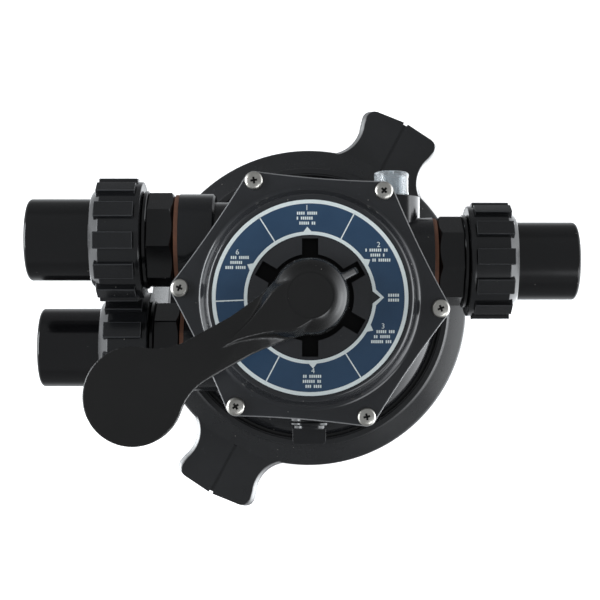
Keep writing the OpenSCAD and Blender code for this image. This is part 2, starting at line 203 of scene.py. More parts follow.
soft_box("left_box", (-1.3, 0.2, 0.72), (0, 0, 0.15), 1.2, 0.42, 17, (0.93, 0.97, 1.0))
soft_box("right_box", (1.35, -0.3, 0.40), (0, 0, 0.15), 1.1, 0.3, 2, (0.96, 0.98, 1.0))

deselect()
bpy.ops.object.camera_add(location=(-0.0071, -0.0485, 1.205), rotation=(math.radians(2.64), 0, 0))
camera = bpy.context.object
camera.name = "studio_camera"
camera.data.lens = 87.0
camera.data.sensor_width = 36.0
bpy.context.scene.camera = camera
bpy.context.scene.view_settings.view_transform = "Standard"

# ---------------------------------------------------------------- valve body
# The body is one injection moulding in black glass-filled ABS: a barrel over a bell, with three port
# collars and a six-sided top flange. Its shape is the frame's own; here it gets its moulded skin.


def moulded(name, tone, dull, grain_size, grain_depth, shift):
    """Black moulded plastic: cloudy tone, fine spark-eroded grain, faint scuffs and a little dust."""
    finish = Finish(name)
    place = finish.node("ShaderNodeTexCoord", out="Object")
    place = finish.node("ShaderNodeMapping", None, {"Vector": place, "Location": (shift, 0.3 * shift, 0)})
    cloud = finish.noise(place, 22, 5, 0.6)
    fine = finish.noise(place, 1 / grain_size, 2, 0.6)
    scuff = finish.noise(place, 160, 6, 0.7)
    cells = finish.node("ShaderNodeTexVoronoi", None, {"Vector": place, "Scale": 150}, out="Distance")
    dust = (cells < 0.07) * (finish.noise(place, 75, 0) > 0.6)
    deep, pale, rubbed = (tuple(share * value for value in tone) + (1,) for share in (0.7, 1.6, 3))
    base = finish.tint(cloud, deep, pale)
    base = finish.tint(0.25 * (scuff > 0.66), base, rubbed)
    base = finish.tint(0.5 * dust, base, (0.20, 0.19, 0.17, 1))
    rough = dull + 0.08 * (cloud - 0.5) + 0.05 * (scuff - 0.5) + 0.3 * dust
    height = 0.7 * fine + 0.15 * scuff + 1.0 * dust
    bump = finish.bump(0.35, grain_depth, height)
    sockets = {"Base Color": base, "Roughness": rough, "Normal": bump, "IOR": 1.5}
    return finish.close(finish.node("ShaderNodeBsdfPrincipled", None, sockets))


body_black = moulded("body_black", (0.0055, 0.0058, 0.0066), 0.17, 0.7 * MM, 0.03 * MM, 0.0)
for moulding in ("valve_body", "tank_bell", "riser_tube"):
    put_on(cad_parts[moulding], body_black)

# ---------------------------------------------------------------- tank ring nut
# A big ring nut, moulded in the same black ABS, screws down on the tank's neck and holds the body's
# foot. Two hollow ears, drafted at their sides and marked with a centre line, are pushed round by hand.


def alone(piece):
    """Leaves one object selected and active."""
    deselect()
    piece.select_set(True)
    bpy.context.view_layer.objects.active = piece
    return piece


def edit_all(piece):
    alone(piece)
    bpy.ops.object.mode_set(mode="EDIT")
    bpy.ops.mesh.select_all(action="SELECT")


def apply_transform():
    bpy.ops.object.transform_apply(location=True, rotation=True, scale=True)


def turned(name, rings, sides=96):
    """Lathe work round Z: one ring of edges is drawn through each (radius, height), in mm, in turn.
    An open end gets a flat cap; a last ring on the first closes a tube."""
    deselect()
    radius, height = rings[0][0] * MM, rings[0][1] * MM
    bpy.ops.mesh.primitive_circle_add(vertices=sides, radius=radius, location=(0, 0, height))
    piece = bpy.context.object
    piece.name = name
    apply_transform()
    edit_all(piece)
    for ring_radius, ring_height in rings[1:]:
        rise, swell = ring_height * MM - height, ring_radius * MM / radius
        radius, height = ring_radius * MM, ring_height * MM
        bpy.ops.mesh.extrude_edges_move(TRANSFORM_OT_translate={"value": (0, 0, rise)})
        bpy.ops.transform.resize(value=(swell, swell, 1), center_override=(0, 0, height))
    tidy_skin()
    return piece


def tidy_skin():
    """In edit mode: merges doubled points, caps open ends, turns every face outwards, and leaves."""
    bpy.ops.mesh.select_all(action="SELECT")
    bpy.ops.mesh.remove_doubles(threshold=0.002 * MM)
    bpy.ops.mesh.fill_holes(sides=0)
    bpy.ops.mesh.select_all(action="SELECT")
    bpy.ops.mesh.normals_make_consistent(inside=False)
    bpy.ops.object.mode_set(mode="OBJECT")


def drawn(name, sections):
    """A bar drawn out along X: each section is (distance, half width, low, high), in mm."""
    deselect()
    along, half, low, high = sections[0]
    bpy.ops.mesh.primitive_plane_add(size=MM, rotation=(0, math.pi / 2, 0))
    piece = bpy.context.object
    piece.name = name
    apply_transform()
    piece.scale = (1, 2 * half, high - low)
    piece.location = (along * MM, 0, (low + high) / 2 * MM)
    apply_transform()
    edit_all(piece)
    for section in sections[1:]:
        step = (section[0] - along) * MM
        lift = (section[2] + section[3] - low - high) / 2 * MM
        bpy.ops.mesh.extrude_region_move(TRANSFORM_OT_translate={"value": (step, 0, lift)})
        swell = (1, section[1] / half, (section[3] - section[2]) / (high - low))
        along, half, low, high = section
        bpy.ops.transform.resize(value=swell, center_override=(along * MM, 0, (low + high) / 2 * MM))
    tidy_skin()
    return piece


def block(name, low, high):
    """A box between two corners, in mm."""
    deselect()
    bpy.ops.mesh.primitive_cube_add(size=MM, location=[(a + b) / 2 * MM for a, b in zip(low, high)])
    piece = bpy.context.object
    piece.name = name
    piece.scale = [b - a for a, b in zip(low, high)]
    apply_transform()
    return piece


def placed(piece, matrix):
    """Moves a piece by a matrix and puts the move in its mesh."""
    alone(piece)
    piece.matrix_world = matrix
    apply_transform()
    return piece


def about_z(degrees):
    return Matrix.Rotation(math.radians(degrees), 4, "Z")


def copied(piece, name):
    """A copy with a mesh of its own."""
    double = piece.copy()
    double.data = piece.data.copy()
    double.name = name
    bpy.context.collection.objects.link(double)
    return double


def combined(piece, other, operation):
    """Joins, cuts or intersects a piece with another, which is used up."""
    alone(piece)
    work = piece.modifiers.new("work", "BOOLEAN")
    work.operation = operation
    work.solver = "EXACT"
    work.object = other
    bpy.ops.object.modifier_apply(modifier=work.name)
    bpy.data.objects.remove(other, do_unlink=True)
    return piece


def softened(piece, width, segments=2, corner=32, slot=-1):
    """Rounds every edge sharper than the corner angle, and can give the round another material slot."""
    alone(piece)
    edge = piece.modifiers.new("edge", "BEVEL")
    edge.width = width * MM
    edge.segments = segments
    edge.limit_method = "ANGLE"
    edge.angle_limit = math.radians(corner)
    edge.material = slot
    bpy.ops.object.modifier_apply(modifier=edge.name)
    return piece


def smooth(piece, corner=40):
    """Smooth shading over gentle angles, with large flats kept flat."""
    alone(piece)
    bpy.ops.object.shade_smooth_by_angle(angle=math.radians(corner))
    weigh = piece.modifiers.new("weigh", "WEIGHTED_NORMAL")
    weigh.keep_sharp = True
    bpy.ops.object.modifier_apply(modifier=weigh.name)
    return piece


def choose(kind, test):
    """In edit mode, selects the faces, edges or verts whose middle, in mm, and normal pass a test."""
    mode = {"faces": "FACE", "edges": "EDGE", "verts": "VERT"}[kind]
    bpy.ops.mesh.select_mode(type=mode)
    bpy.ops.mesh.select_all(action="DESELECT")
    mesh = bmesh.from_edit_mesh(bpy.context.object.data)
    for item in getattr(mesh, kind):
        if kind == "faces":
            middle = item.calc_center_median() / MM
            found = test(middle, item.normal)
        elif kind == "edges":
            first, second = (end.co / MM for end in item.verts)
            found = test(first, second)
        else:
            found = test(item.co / MM, item.normal)
        if found:
            item.select_set(True)
    mesh.select_flush_mode()
    bmesh.update_edit_mesh(bpy.context.object.data)


ear_angle = 62.1
ear_draft = 0.9
ring_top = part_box("tank_ring_nut")[1].z / MM
thread = []
for turn in range(4):
    start = 18 - 4.4 * turn
    thread += [(119.2, start), (117.6, start - 1.4), (117.6, start - 2.4), (119.2, start - 3.8)]
ring_profile = [(118, 0), (127.2, 0), (128, 0.8), (128, 26.4), (127.7, 27.9), (126.9, 29.0), (126.0, 29.9),
                (113.9, 37.0), (113.2, 37.5), (112.4, 38.0), (112.1, 38.6), (111.9, ring_top - 0.5),
                (111.4, ring_top), (107.6, ring_top), (107.2, ring_top - 0.5), (106.2, ring_top - 0.6),
                (105.8, ring_top - 1.1), (105.8, 31), (106.4, 30.4), (118.4, 30.4), (118.4, 20),
                (119.2, 19.4)]
ring_nut = turned("tank_ring_nut_moulding", ring_profile + thread + [(118, 0)], sides=180)

fillet_r, fillet_u, fillet_v = 26, 142.4, 56.4
ear_plan = []
for step in range(12):
    angle = math.radians(206 + 8 * step)
    ear_plan.append((fillet_u + fillet_r * math.cos(angle), fillet_v + fillet_r * math.sin(angle)))
for angle in (114, 90, 66, 44, 24, 8):
    ear_plan.append((159.8 + 7.5 * math.cos(math.radians(angle)), 26.7 + 7.5 * math.sin(math.radians(angle))))
ear_plan.append((169.75, 0.6))
ear_low, ear_high, ear_shoulder = 0, 30, 21
ear = drawn("ear", [(along, half, ear_low, ear_shoulder) for along, half in ear_plan])
edit_all(ear)
choose("faces", lambda middle, normal: normal.z > 0.9)
bpy.ops.mesh.extrude_region_move(TRANSFORM_OT_translate={"value": (0, 0, (ear_high - ear_shoulder) * MM)})
bpy.ops.transform.resize(value=(1, ear_draft, 1), center_override=(0, 0, 0))
tidy_skin()
softened(ear, 0.7, 2, 35)
for side in (-1, 1):
    pocket = block("pocket", (131, side * 17 - 13, -1), (161, side * 17 + 13, 24))
    combined(ear, softened(pocket, 4, 3), "DIFFERENCE")
combined(ear, block("line", (126, -1.2, ear_high - 0.9), (200, 1.2, ear_high + 5)), "DIFFERENCE")
combined(ear, block("notch", (167.9, -1.7, -5), (175, 1.7, 50)), "DIFFERENCE")
for turn in (0, 180):
    combined(ring_nut, placed(copied(ear, "ear_copy"), about_z(ear_angle + turn)), "UNION")
bpy.data.objects.remove(ear, do_unlink=True)
smooth(ring_nut, 32)
put_on(ring_nut, moulded("ring_black", (0.0125, 0.0129, 0.0138), 0.19, 0.8 * MM, 0.03 * MM, 3.1))
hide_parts("tank_ring_nut")
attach(ring_nut, "tank_ring")

# ---------------------------------------------------------------- cover
# The cover is a second black moulding: a six-sided plate with hollowed sides and a round boss that
# carries the dial and the six index slots. Six screws hold it on the body's flange.
plate_low = 172
plate_top = 180
boss_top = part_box("cover")[1].z / MM
label_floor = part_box("dial_label")[0].z / MM
recess_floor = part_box("handle_washer")[0].z / MM
cover_turn = -4.5
screw_circle = 92.6
corner_r = 7.0
side_hollow = 1.4
flat_reach = screw_circle * math.cos(math.radians(30)) + corner_r
corner_reach = flat_reach / math.cos(math.radians(30))


def cylinder(name, radius, low, high, sides=96, place=(0, 0)):
    """A plain rod for cutting or joining, in mm."""
    deselect()
    bpy.ops.mesh.primitive_cylinder_add(vertices=sides, radius=radius * MM, depth=(high - low) * MM,
                                        location=(place[0] * MM, place[1] * MM, (low + high) / 2 * MM))
    piece = bpy.context.object
    piece.name = name
    apply_transform()
    return piece


def circle_point(radius, degrees):
    return radius * math.cos(math.radians(degrees)), radius * math.sin(math.radians(degrees))


# A lighter grey plastic for rounded edges: a painted highlight that stands in for light caught along the edges.
painted_edge_highlight = moulded("painted_edge_highlight", (0.15, 0.152, 0.155), 0.25, 0.5 * MM, 0.02 * MM, 6.1)
cover = placed(cylinder("cover_moulding", corner_reach, plate_low, plate_top, 6), about_z(cover_turn + 30))
cover.data.materials.append(painted_edge_highlight)
cover.data.materials.append(painted_edge_highlight)
edit_all(cover)
choose("edges", lambda first, second: abs(first.z - second.z) > 1)
bpy.ops.mesh.bevel(offset=corner_r * math.tan(math.radians(30)) * MM, segments=8, affect="EDGES")
tidy_skin()
hollow_r = ((screw_circle / 2) ** 2 + side_hollow ** 2) / (2 * side_hollow)
for side in range(6):
    middle = circle_point(flat_reach - side_hollow + hollow_r, cover_turn + 30 + 60 * side)
    combined(cover, cylinder("hollow", hollow_r, plate_low - 5, plate_top + 5, 720, middle), "DIFFERENCE")
edit_all(cover)
bpy.ops.mesh.remove_doubles(threshold=0.3 * MM)
bpy.ops.object.mode_set(mode="OBJECT")
# The plate's rounded edges take slot 1, the painted edge highlight.
softened(cover, 0.8, 3, 35, 1)
boss_profile = [(16, 166), (69.8, 166), (69.8, 175), (79.6, 175), (79.6, 180.3), (78.9, 180.5), (78.3, 180.8),
                (77.6, 181.3), (76.9, 182.0), (76.0, 183.1), (75.1, 184.4), (74.3, 185.7), (73.8, 186.9),
                (73.5, 188.2), (73.3, 189.4), (72.9, 190.4), (72.2, 191.2), (71.3, 191.8), (70.4, boss_top)]
boss = turned("boss", boss_profile + [(30, boss_top)], sides=144)
combined(cover, boss, "UNION")
groove = turned("groove", [(43.6, label_floor), (69.2, label_floor), (69.2, boss_top + 3),
                           (43.6, boss_top + 3), (43.6, label_floor)], sides=144)
combined(cover, groove, "DIFFERENCE")
recess = cylinder("recess", 30.7, recess_floor, boss_top + 5)
for turn in (30, 90, 150):
    slot_cut = block("slot_cut", (-41.5, -5.7, recess_floor), (41.5, 5.7, boss_top + 5))
    combined(recess, placed(slot_cut, about_z(turn)), "UNION")
combined(cover, recess, "DIFFERENCE")
softened(cover, 0.3, 2, 50)
combined(cover, cylinder("stem_hole", 10.1, 150, 200, 48), "DIFFERENCE")
for corner in range(6):
    hole = circle_point(screw_circle, cover_turn + 60 * corner)
    combined(cover, cylinder("screw_hole", 3.4, 160, 190, 24, hole), "DIFFERENCE")
pointer_top = boss_top + 0.3
pointer = drawn("pointer", [(42.6, 5.2, boss_top - 0.6, pointer_top),
                            (48.9, 0.15, boss_top - 0.2, pointer_top)])
combined(cover, softened(pointer, 0.15, 2, 35), "UNION")
smooth(cover, 32)
cover_black = moulded("cover_black", (0.0175, 0.0184, 0.0205), 0.15, 0.6 * MM, 0.025 * MM, 7.7)
cover.data.materials[0] = cover_black
# The floors of the six index slots get a near-black, almost shineless material: painted shade where the slots are
# deep.
painted_slot_shade = moulded("painted_slot_shade", (0.0012, 0.0012, 0.0013), 0.35, 0.6 * MM, 0.025 * MM, 3.9)
painted_slot_shade.node_tree.nodes["Principled BSDF"].inputs["Specular IOR Level"].default_value = 0.12
cover.data.materials.append(painted_slot_shade)
for face in cover.data.polygons:
    if abs(face.center.z / MM - recess_floor) < 0.3 and face.normal.z > 0.9:
        face.material_index = 2
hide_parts("cover")
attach(cover, "housing")

# ---------------------------------------------------------------- dial
# A printed polyester foil, stuck in the boss's groove: blue ground, off-white rings, dividers and marks,
# a numeral for each position. The foil is the frame's own; the print stands on it as thin raised ink.
foil = Finish("dial_blue")
foil_place = foil.node("ShaderNodeTexCoord", out="Object")
foil_cloud = foil.noise(foil_place, 60, 5, 0.65)
foil_weave = foil.noise(foil_place, 1600, 2, 0.6)
foil_colour = foil.tint(foil_cloud, (0.0120, 0.039, 0.086, 1), (0.0210, 0.061, 0.122, 1))
foil_colour = foil.tint(0.25 * (foil_weave > 0.62), foil_colour, (0.03, 0.065, 0.105, 1))
foil_bump = foil.bump(0.25, 0.04 * MM, foil_weave)
foil_sockets = {"Base Color": foil_colour, "Roughness": 0.30 + 0.2 * foil_cloud, "Normal": foil_bump}
put_on(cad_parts["dial_label"], foil.close(foil.node("ShaderNodeBsdfPrincipled", None, foil_sockets)))

ink = Finish("dial_white")
ink_place = ink.node("ShaderNodeTexCoord", out="Object")
ink_wear = ink.noise(ink_place, 300, 5, 0.7)
ink_colour = ink.tint(ink_wear, (0.62, 0.68, 0.675, 1), (0.78, 0.84, 0.83, 1))
ink_bump = ink.bump(0.2, 0.03 * MM, ink_wear)
ink_sockets = {"Base Color": ink_colour, "Roughness": 0.35 + 0.2 * ink_wear, "Normal": ink_bump}
ink_white = ink.close(ink.node("ShaderNodeBsdfPrincipled", None, ink_sockets))

foil_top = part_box("dial_label")[1].z / MM
ink_low = foil_top - 0.2
ink_top = foil_top + 0.09
dial_turn = 2.3


def printed_ring(inner, outer):
    return turned("ring", [(inner, ink_low), (outer, ink_low), (outer, ink_top), (inner, ink_top),
                           (inner, ink_low)], sides=180)


def mark(low, high):
    return block("mark", (*low, ink_low), (*high, ink_top))


def joined(name, parts):
    alone(parts[0])
    for part in parts:
        part.select_set(True)
    bpy.ops.object.join()
    parts[0].name = name
    return parts[0]


prints = [printed_ring(66.1, 68.8), printed_ring(44.0, 46.4)]
for turn in (60, 120, 180, 240, 300):
    prints.append(placed(mark((46.2, -0.42), (66.3, 0.42)), about_z(turn + dial_turn)))
tooth_top = ink_top - 0.02
for turn in (90, 150, 30, -30, -90, 0):
    reach, half, lean = (3.4, 3.0, dial_turn) if turn else (5.4, 5.6, 0)
    tooth = drawn("tooth", [(46.0, half, ink_low, tooth_top), (46.2 + reach, 0.12, ink_low, tooth_top)])
    prints.append(placed(tooth, about_z(turn + lean)))


def numeral(words, height, middle):
    """A numeral cut from ink, standing upright on the dial with its middle at a point, in mm."""
    deselect()
    bpy.ops.object.text_add(location=(0, 0, 0))
    sign = bpy.context.object
    sign.data.body = words
    sign.data.size = height * MM
    sign.data.align_x = "CENTER"
    sign.data.align_y = "CENTER"
    sign.data.extrude = 0.14 * MM
    bpy.ops.object.convert(target="MESH")
    sign = bpy.context.object
    return placed(sign, Matrix.Translation(Vector((middle[0], middle[1], ink_top - 0.14)) * MM))


strokes = ((9, 0.3), (7, -0.6), (8, 0.5))
label_places = ((92.3, 0), (33, 1.6), (-27, -1.6), (-88, 0), (-148, 0), (153, -1.6))
for number, (turn, lean) in enumerate(label_places, 1):
    across, up = circle_point(57.2, turn)
    prints.append(numeral(str(number), 5.2, (across, up + 5.8)))
    for row, (fewest, slip) in enumerate(strokes):
        row_low = up + 1.0 - 3.5 * row
        count = fewest + (number + row) % 3
        for stroke in range(count):
            left = across + slip + lean * (row - 1) + 1.45 * (stroke - count / 2)
            if (stroke * 5 + row + number) % 7:
                prints.append(mark((left, row_low), (left + 1.0, row_low + 2.1)))
for row_low in (0.5, -2.9):
    for stroke in range(5):
        prints.append(mark((54.6 + 1.6 * stroke, row_low), (55.7 + 1.6 * stroke, row_low + 2.1)))
dial_print = joined("dial_print_marks", prints)
put_on(dial_print, ink_white)
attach(dial_print, "housing")

# ---------------------------------------------------------------- screws
# Six stainless M6 pan-head screws with cross recesses, cold headed and thread-rolled, each with a washer
# and a hexagon nut under the flange.
steel = Finish("bright_steel")
steel_place = steel.node("ShaderNodeTexCoord", out="Object")
steel_cloud = steel.noise(steel_place, 420, 4, 0.6)
steel_marks = steel.noise(steel_place, 2600, 3, 0.6)
steel_colour = steel.tint(steel_cloud, (0.46, 0.44, 0.40, 1), (0.66, 0.65, 0.61, 1))
steel_colour = steel.tint(0.6 * (steel_cloud > 0.66), steel_colour, (0.20, 0.17, 0.13, 1))
steel_bump = steel.bump(0.3, 0.03 * MM, steel_marks)
steel_sockets = {"Base Color": steel_colour, "Metallic": 1.0, "Roughness": 0.22 + 0.22 * steel_cloud,
                 "Normal": steel_bump}
bright_steel = steel.close(steel.node("ShaderNodeBsdfPrincipled", None, steel_sockets))

screw_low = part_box("cover_screws")[0].z / MM
head_low = plate_top
screw_profile = [(2.3, screw_low), (2.5, screw_low + 0.3)]
for turn in range(11):
    thread_z = screw_low + 0.6 + 1.0 * turn
    screw_profile += [(2.95, thread_z), (2.95, thread_z + 0.15), (2.5, thread_z + 0.5), (2.5, thread_z + 0.6)]
screw_profile += [(3, screw_low + 12.5), (3, head_low)]
for radius, rise in ((6.2, 0), (6.5, 0.35), (6.5, 1.15), (6.36, 1.9), (5.95, 2.5), (5.2, 3.0), (4.2, 3.32),
                     (2.6, 3.55), (1.0, 3.6)):
    screw_profile.append((radius, head_low + rise))
screw = turned("screw", screw_profile, sides=48)
for turn in (0, 90):
    arm = block("arm", (-3.3, -0.95, head_low + 0.9), (3.3, 0.95, head_low + 6))
    edit_all(arm)
    choose("verts", lambda point, normal: point.z < head_low + 2)
    bpy.ops.transform.resize(value=(0.45, 0.6, 1), center_override=(0, 0, 0))
    bpy.ops.object.mode_set(mode="OBJECT")
    combined(screw, placed(arm, about_z(turn)), "DIFFERENCE")
smooth(screw, 35)
# The walls and floor of each cross recess get a near-black dull material: painted shade inside the recess.
painted_recess_shade = moulded("painted_recess_shade", (0.010, 0.009, 0.008), 0.55, 0.3 * MM, 0.05 * MM, 1.7)
put_on(screw, bright_steel)
screw.data.materials.append(painted_recess_shade)
edit_all(screw)
choose("faces", lambda middle, normal: math.hypot(middle.x, middle.y) < 3.35 and normal.z < 0.5
       and middle.z > head_low + 0.5
       or math.hypot(middle.x, middle.y) < 3 and abs(middle.z - head_low - 0.9) < 0.1)
bpy.context.object.active_material_index = 1
bpy.ops.object.material_slot_assign()
bpy.ops.object.mode_set(mode="OBJECT")
screw_turns = (21, 47, 8, 66, 34, 12)
screws = []
for corner, turn in enumerate(screw_turns):
    across, up = circle_point(screw_circle, cover_turn + 60 * corner)
    place = Matrix.Translation((across * MM, up * MM, 0)) @ about_z(turn)
    screws.append(placed(copied(screw, f"screw_{corner}"), place))
bpy.data.objects.remove(screw, do_unlink=True)
screw_set = joined("cover_screw_set", screws)
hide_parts("cover_screws")
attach(screw_set, "housing")
for fastener in ("cover_washers", "cover_nuts"):
    put_on(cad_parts[fastener], bright_steel)

# ---------------------------------------------------------------- selector's inner parts
# The rotor is a flat six-way disc in glass-filled PP on a stainless stem, pressed down by a coil spring;
# black nitrile rings and a spider gasket seal it. All of these keep the frame's shapes.
inner_black = moulded("inner_black", (0.024, 0.024, 0.026), 0.52, 0.9 * MM, 0.10 * MM, 5.2)
rubber_black = moulded("rubber_black", (0.012, 0.012, 0.0125), 0.62, 1.4 * MM, 0.05 * MM, 9.4)
for inner in ("rotor", "handle_washer"):
    put_on(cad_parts[inner], inner_black)
for inner in ("stem", "spring", "spring_washer", "handle_pin"):
    put_on(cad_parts[inner], bright_steel)
for seal in ("cover_o_ring", "tank_o_ring", "riser_o_ring", "stem_o_rings", "spider_gasket",
             "pump_union_o_ring", "return_union_o_ring", "waste_union_o_ring", "sight_glass_o_ring",
             "drain_plug_o_ring"):
    put_on(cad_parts[seal], rubber_black)

# ---------------------------------------------------------------- handle
# The lever is one black moulding: a domed hub, an arm that rises from the hub's sides round a
# pointed spine, and a round paddle. A steel pin holds it on the stem's blade; its rib is the pointer.
arm_turn = 210
hub_low = 187.6
hub_top = 225
paddle_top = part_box("handle")[1].z / MM
paddle_u, paddle_r = 136.6, 33.4
neck_half, throat_r = 14.8, 38
throat_u = paddle_u - math.sqrt((paddle_r + throat_r) ** 2 - (neck_half + throat_r) ** 2)
throat_a = math.degrees(math.atan2(neck_half + throat_r, paddle_u - throat_u))
arm_heights = ((6, 211.6, 203), (20, 211.6, 203), (30, 212.6, 204), (40, 215.2, 207.0), (50, 218.6, 210.4),
               (60, 222.8, 214.0), (68, 226.6, 217.2), (80, 232.4, 222.4), (95, 236.8, 227.8),
               (112, 240.0, 231), (130, 241.7, 232.8), (150, paddle_top, 233), (170, paddle_top, 233))


def between(table, place, column):
    """Reads a column of a table at a place between its rows."""
    for first, second in zip(table, table[1:]):
        if place <= second[0]:
            share = (place - first[0]) / (second[0] - first[0])
            return first[column] + share * (second[column] - first[column])
    return table[-1][column]


arm_plan = [(6, 24.4), (12, 22.8), (18, 20.9), (25, 19.1), (32, 17.7), (40, 16.5), (48, 15.5),
            (55, neck_half)]
throat_v = neck_half + throat_r
for step in range(9):
    angle = math.radians(270 + (90 - throat_a) * step / 8)
    arm_plan.append((throat_u + throat_r * math.cos(angle), throat_v + throat_r * math.sin(angle)))
first_angle = 180 - throat_a
for step in range(1, 25):
    angle = math.radians(first_angle + (4 - first_angle) * step / 24)
    arm_plan.append((paddle_u + paddle_r * math.cos(angle), paddle_r * math.sin(angle)))
arm_plan.sort()
arm_sections = [(along, half, between(arm_heights, along, 2), between(arm_heights, along, 1))
                for along, half in arm_plan]
handle = drawn("handle_moulding", arm_sections)
edit_all(handle)
bpy.ops.mesh.bisect(plane_co=(0, 0, 0), plane_no=(0, 1, 0))
ridge = ((6, 7.4), (25, 7.4), (32, 7.1), (40, 6.2), (50, 4.6), (60, 3.0), (70, 1.6), (80, 0.5), (90, 0))
for along, half in arm_plan:
    if along < 90:
        choose("verts", lambda point, normal: abs(point.x - along) < 0.02 and abs(point.y) < 0.01
               and point.z > between(arm_heights, point.x, 1) - 2)
        bpy.ops.transform.translate(value=(0, 0, between(ridge, along, 1) * MM))
bpy.ops.object.mode_set(mode="OBJECT")
softened(handle, 3.0, 5, 60)

hub_profile = [(14, hub_low), (19.6, hub_low), (20.4, hub_low + 0.3), (26.6, 190.0), (27.2, 190.8),
               (27.2, 205), (27.0, 210), (26.4, 213.6), (25.2, 216.7), (23.4, 219.2), (21.2, 221.3), (18.8, 223.1),
               (17.2, 224.1), (16.5, 224.5), (15.9, 224.9), (15.3, hub_top), (14.2, hub_top),
               (13.8, hub_top - 0.25), (13.0, hub_top - 0.3), (4, hub_top - 0.3)]
hub = turned("hub", hub_profile, sides=96)
combined(handle, hub, "UNION")

spine_plan = ((0, 21.0), (12, 21.4), (17, 21.4), (22, 20.2), (28, 16.6), (34, 12.6), (42, 8.4), (50, 5.2),
              (58, 2.8), (66, 1.2), (71, 0.5))
spine_tops = ((0, 224.4), (15, 224.4), (22, 224.2), (30, 223.8), (45, 225.4), (71, 229.4))
spine = drawn("spine", [(along, half, between(arm_heights, along, 1) + 2.0, between(spine_tops, along, 1))
                        for along, half in spine_plan])
edit_all(spine)
choose("verts", lambda point, normal: point.z > between(arm_heights, point.x, 1) + 3)
bpy.ops.transform.resize(value=(1, 0.72, 1), center_override=(0, 0, 0))
bpy.ops.object.mode_set(mode="OBJECT")
combined(handle, spine, "UNION")

rib = drawn("rib", [(-38.4, 2.0, 192.8, 197.6), (-37.6, 2.5, 192.8, 200.6), (-36, 2.8, 193, 203.4),
                    (-33, 2.8, 193.6, 206.8), (-29, 2.8, 195, 211.4), (-24, 2.8, 196.4, 217.4),
                    (-20, 2.7, 198, 221.4), (-15, 2.0, 200, 223.4)])
combined(handle, softened(rib, 1.3, 3, 60), "UNION")

alone(handle)
grain = handle.modifiers.new("grain", "REMESH")
grain.mode = "VOXEL"
grain.voxel_size = 0.75 * MM
bpy.ops.object.modifier_apply(modifier=grain.name)
soften = handle.modifiers.new("soften", "SMOOTH")
soften.factor = 0.5
soften.iterations = 5
bpy.ops.object.modifier_apply(modifier=soften.name)
line_low, line_high = hub_top - 0.8, hub_top + 3
disc_line = turned("disc_line", [(15.2, line_low), (15.9, line_low), (15.9, line_high), (15.2, line_high),
                                 (15.2, line_low)], sides=96)
combined(handle, disc_line, "DIFFERENCE")
combined(handle, block("stem_room", (-11.8, -10.8, 180), (18.4, 10.8, 199)), "DIFFERENCE")
combined(handle, block("blade_room", (-14.4, -7.9, 196), (16.8, 7.9, 221.4)), "DIFFERENCE")
pin_height = 212
pin_place = Matrix.Translation((0, 0, pin_height * MM)) @ Matrix.Rotation(math.pi / 2, 4, "X")
combined(handle, placed(cylinder("pin_hole", 4.05, -40, 40, 48), pin_place), "DIFFERENCE")
placed(handle, about_z(arm_turn))
smooth(handle, 50)
put_on(handle, moulded("handle_black", (0.0045, 0.0043, 0.0042), 0.22, 0.55 * MM, 0.03 * MM, 2.4))
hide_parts("handle")
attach(handle, "lever")

# ---------------------------------------------------------------- pipe unions
# Each port has a union: an eight-sided nipple screwed into its collar on a red-brown flat gasket, and a
# tail pipe that a ribbed nut draws on to the nipple. All three sets are the same mouldings in black PVC.
union_black = moulded("union_black", (0.0028, 0.0028, 0.0032), 0.15, 0.6 * MM, 0.025 * MM, 4.3)
nut_black = moulded("nut_black", (0.0075, 0.0078, 0.0086), 0.17, 0.6 * MM, 0.025 * MM, 5.6)
# A lighter grey goes on the rounded edges of the nuts' grip ribs: a painted highlight.
painted_rib_highlight = moulded("painted_rib_highlight", (0.030, 0.031, 0.033), 0.2, 0.5 * MM, 0.02 * MM, 8.3)
gasket = Finish("gasket_brown")
gasket_place = gasket.node("ShaderNodeTexCoord", out="Object")
gasket_cloud = gasket.noise(gasket_place, 260, 5, 0.7)
gasket_colour = gasket.tint(gasket_cloud, (0.050, 0.017, 0.008, 1), (0.175, 0.065, 0.030, 1))
gasket_bump = gasket.bump(0.5, 0.1 * MM, gasket_cloud)
gasket_sockets = {"Base Color": gasket_colour, "Roughness": 0.6 + 0.3 * gasket_cloud, "Normal": gasket_bump}
gasket_brown = gasket.close(gasket.node("ShaderNodeBsdfPrincipled", None, gasket_sockets))

seat, octagon_end, fin_end, nipple_end = 98, 118, 120.8, 139.5
nut_start, rib_stop, shoulder_stop, tail_start, tail_stop = 121.5, 154.4, 159.3, 139.75, 206


def nipple(name, turn):
    """Along +Z from the valve's axis: tube, chamfered octagon, thin fin and the union's thread."""
    octagon = placed(cylinder(name, 35, seat, octagon_end, 8), about_z(turn))
    softened(octagon, 0.9, 2, 30)
    chamfer = turned("chamfer", [(30.6, seat - 0.1), (36.5, seat + 4.4), (36.5, octagon_end + 1),
                                 (20, octagon_end + 1)])
    combined(octagon, chamfer, "INTERSECT")
    combined(octagon, cylinder("bore", 24, seat - 5, octagon_end + 5), "DIFFERENCE")
    profile = [(22, 76.4), (22.4, 76), (26.6, 76), (27, 76.4), (27, octagon_end - 0.1),
               (35.4, octagon_end - 0.1), (36, octagon_end + 0.4), (36, fin_end - 0.5), (35.5, fin_end),
               (34.4, fin_end)]
    for turn in range(4):
        start = fin_end + 0.6 + 4 * turn
        profile += [(33.5, start), (33.5, start + 1.0), (34.45, start + 1.6), (34.45, start + 2.6)]
    profile += [(33.5, nipple_end - 0.9), (32.8, nipple_end), (31, nipple_end), (31, nipple_end - 3.2),
                (27, nipple_end - 3.2), (27, nipple_end), (22.5, nipple_end), (22, nipple_end - 0.5),
                (22, 76.4)]
    tube = turned("tube", profile)
    combined(octagon, tube, "UNION")
    return smooth(octagon, 32)


